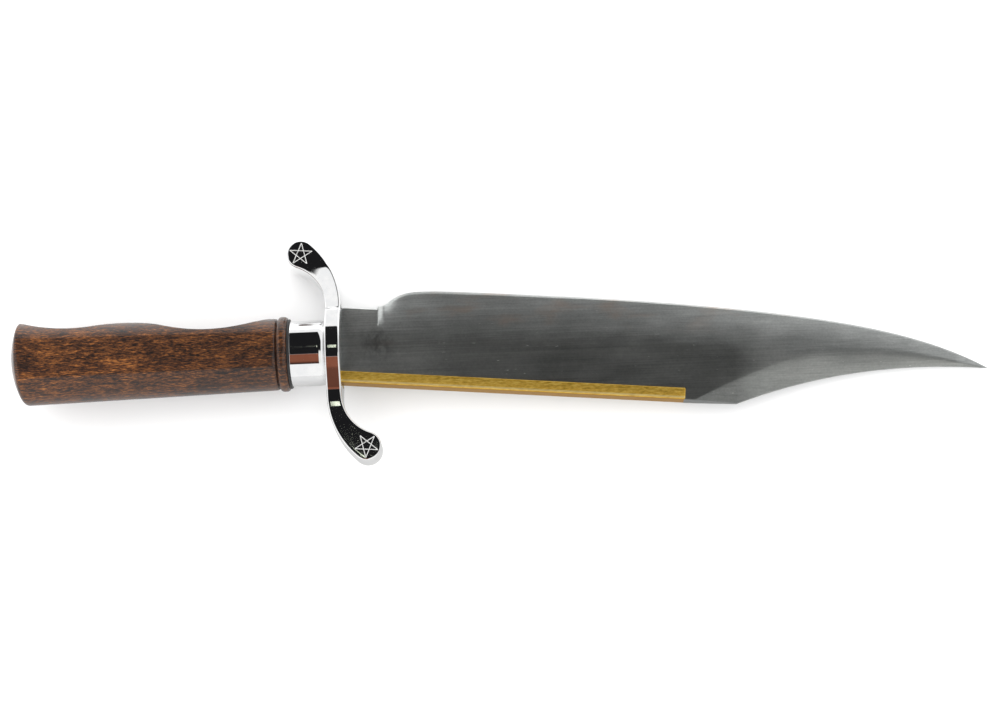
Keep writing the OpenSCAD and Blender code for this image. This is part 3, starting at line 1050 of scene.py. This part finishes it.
def turned_front():
    """(x, radius) from the bottom of the bore, out over tenon and bead, to the barrel."""
    p = [(BORE_END, 0.0), (BORE_END, BORE_R - 0.01), (BORE_END + 0.01, BORE_R)]
    p += [(-GUARD_T - 0.3, BORE_R), (-GUARD_T, BORE_R + 0.3)]
    p += [(-GUARD_T, TENON_R - 0.4), (-GUARD_T - 0.4, TENON_R)]
    p += [(SHOULDER_X + 0.01, TENON_R), (SHOULDER_X, TENON_R + 0.01)]
    for i in range(25):
        a = math.pi * i / 24
        along = math.copysign(abs(math.cos(a)) ** BEAD_SQUARE, math.cos(a))
        r = BEAD_TOP - BEAD_R + BEAD_R * math.sin(a) ** BEAD_SQUARE
        # Behind the bead's top, what would lie inside the neck is left out.
        if along > 0 or r >= NECK_R:
            p.append((BEAD_X + BEAD_R * along, r))
    p += [(GRIP_START + 0.1, NECK_R - 0.05), (GRIP_START - 0.05, NECK_R)]
    neck, edge = (GRIP_START - 0.15, NECK_R + 0.1), (GRIP_START - 0.2, BARREL_R0 - 0.05)
    return p + corner_points(neck, edge, (BARREL_X0 - 0.6, BARREL_R0 + 0.01), 8)


def make_grip(material):
    plain = section_angles(LEAST_CREASE)
    verts = [around(x, r, a) for x, r in turned_front() for a in plain]
    x0 = BARREL_X0 - 0.9
    for s in spread(0.0, 1.0, 150):
        for a in section_angles(crease_angle(lerp(x0, BARREL_X1, s))):
            corner, _, ease = butt_corner(a)
            x = lerp(x0, corner + ease, s)
            verts.append(around(x, grip_radius(x, a), a))
    # The butt: rows round its rim, then rows over the dome.
    rim = [[] for _ in range(8)]
    poles = spread(0.0, 1.0, 14)[1:-1]
    dome = [[] for _ in poles]
    for a in section_angles(crease_angle(BARREL_X1)):
        corner, rho, ease = butt_corner(a)
        start = (corner + ease, grip_radius(corner + ease, a))
        end = (dome_x(rho - ease, a), rho - ease)
        for row, (x, r) in zip(rim, corner_points(start, (corner, rho), end, len(rim))[1:]):
            row.append(around(x, r, a))
        for row, t in zip(dome, poles):
            r = (rho - ease) * (1 - t)
            row.append(around(dome_x(r, a), r, a))
    for row in rim + dome:
        verts += row
    cols = len(plain)
    verts += [(dome_x(0.0, 0.0), 0.0, 0.0)] * cols
    faces = grid_faces(len(verts) // cols, cols, True)
    return new_piece("turned_grip", verts, faces, material, 38.0)


# ------------------------------------------------------------------------ stage
def make_floor(material):
    """The knife lies rolled on its edge side: this is the table under it."""
    slope_x, slope_y = 0.0665, 0.2016
    low = min(
        (v.co.z - slope_x * v.co.x - slope_y * v.co.y)
        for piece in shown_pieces()
        for v in piece.data.vertices
    )
    reach = 4.0
    verts = [
        (x, y, low + slope_x * x + slope_y * y)
        for x, y in ((-reach, -reach), (reach, -reach), (reach, reach), (-reach, reach))
    ]
    mesh = bpy.data.meshes.new("floor")
    mesh.from_pydata(verts, [], [(0, 1, 2, 3)])
    mesh.materials.append(material)
    floor = bpy.data.objects.new("floor", mesh)
    bpy.context.scene.collection.objects.link(floor)
    floor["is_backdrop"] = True


def make_world():
    """White tent round the knife, with a dark opening overhead, cards and a lamp."""
    world = bpy.data.worlds.new("studio")
    bpy.context.scene.world = world
    world.use_nodes = True
    world.node_tree.nodes.clear()
    n = Nodes(world.node_tree, "Generated")
    x = n.axis("X")
    swing = n.math("ARCTAN2", n.axis("Y"), n.axis("Z"))

    def between(value, low, high, soft):
        return n.band(value, (low - soft, low + soft), (high - soft, high + soft))

    def arc(low, high, soft):
        return between(swing, math.radians(low), math.radians(high), soft)

    def without(a, b):
        return n.math("MULTIPLY", a, n.math("SUBTRACT", 1.0, b))

    # Over the blade the tent's edge side comes closer to the zenith towards the point.
    nearer = n.math("MULTIPLY", n.math("MAXIMUM", n.math("ADD", x, 0.066), 0.0), 1.5)
    edge_side = n.span(n.math("ADD", swing, nearer), math.radians(64), math.radians(66))
    opening = n.span(swing, math.radians(-18), math.radians(-16))
    opening = n.math("MULTIPLY", opening, between(x, -0.31, 0.37, 0.02))
    dark = without(opening, edge_side)
    red = n.math("MULTIPLY", between(x, -0.30, 0.02, 0.02), arc(-52, -17, 0.015))
    olive = n.math("MULTIPLY", between(x, 0.04, 0.37, 0.03), arc(-52, -7, 0.08))
    deep = without(red, n.span(swing, math.radians(-51), math.radians(-40)))
    lamp = n.math("MULTIPLY", between(x, -0.0845, -0.0755, 0.0006), arc(5.5, 12.2, 0.004))
    # A grey card past the point keeps bright metal apart from the white behind it.
    seen = n.mix(n.span(x, 0.60, 0.90), (1.0, 1.0, 1.0, 1), (0.55, 0.56, 0.57, 1))
    for card, colour in (
        (dark, (0.012, 0.012, 0.013, 1)),
        (red, (0.245, 0.085, 0.05, 1)),
        (olive, (0.92, 0.92, 0.88, 1)),
        (deep, (0.03, 0.018, 0.016, 1)),
        (lamp, (1.25, 1.35, 1.08, 1)),
    ):
        seen = n.mix(card, seen, colour)
    # The camera sees plain white, and soft light comes from all round.
    ray = n.add("LightPath").outputs
    seen = n.mix(ray["Is Camera Ray"], seen, (1.0, 1.0, 1.0, 1))
    seen = n.mix(ray["Is Diffuse Ray"], seen, (1.55, 1.55, 1.55, 1))
    background = n.add("Background")
    n.link(seen, background.inputs["Color"])
    n.link(background.outputs[0], n.add("OutputWorld").inputs[0])


def make_key():
    """Broad soft light from above the edge side."""
    data = bpy.data.lights.new("key", "SUN")
    data.energy = 0.8
    data.angle = math.radians(50)
    key = bpy.data.objects.new("key", data)
    bpy.context.scene.collection.objects.link(key)
    key.rotation_euler = Vector((0.1, 0.5, 1.0)).to_track_quat("Z", "Y").to_euler()
    key.visible_glossy = False


def make_camera():
    eye = Vector((0.06883, -0.23090, 0.84213))
    target = Vector((0.06883, -0.00525, 0.0))
    roll = math.radians(2.4)
    back = (eye - target).normalized()
    flat_right = Vector((1, 0, 0))
    flat_up = back.cross(flat_right)
    right = flat_right * math.cos(roll) - flat_up * math.sin(roll)
    up = back.cross(right)
    data = bpy.data.cameras.new("camera")
    data.lens = 72.0
    data.sensor_width = 36.0
    data.clip_start, data.clip_end = 0.05, 50.0
    camera = bpy.data.objects.new("camera", data)
    bpy.context.scene.collection.objects.link(camera)
    frame_of = Matrix((right, up, back)).transposed().to_4x4()
    camera.matrix_world = Matrix.Translation(eye) @ frame_of
    bpy.context.scene.camera = camera


# ------------------------------------------------------------------- the object
chrome = chrome_material()
pieces = [
    (make_blade(blade_material()), "blade", "blade_steel"),
    (make_strip(brass_material()), "spine_strip", "strip_brass"),
    (make_pin(brass_material("pin_brass", 0.08)), "strip_pin", "pin_brass"),
    (make_guard(chrome, engraved_material()), "guard", "guard_plate"),
    (make_ferrule(chrome_material()), "ferrule", "ferrule_plate"),
    (make_spacer(fibre_material()), "front_spacer", "fibre"),
    (make_grip(wood_material()), "grip", "grip_wood"),
]
for piece, cad_node, material_slot in pieces:
    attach(piece, "root")
    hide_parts(cad_node)

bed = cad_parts["tang_bed"]
resin = resin_material()
for bed_slot in bed.material_slots:
    bed_slot.material = resin

make_floor(floor_material())
make_world()
make_key()
make_camera()
bpy.context.scene.view_settings.view_transform = "Standard"
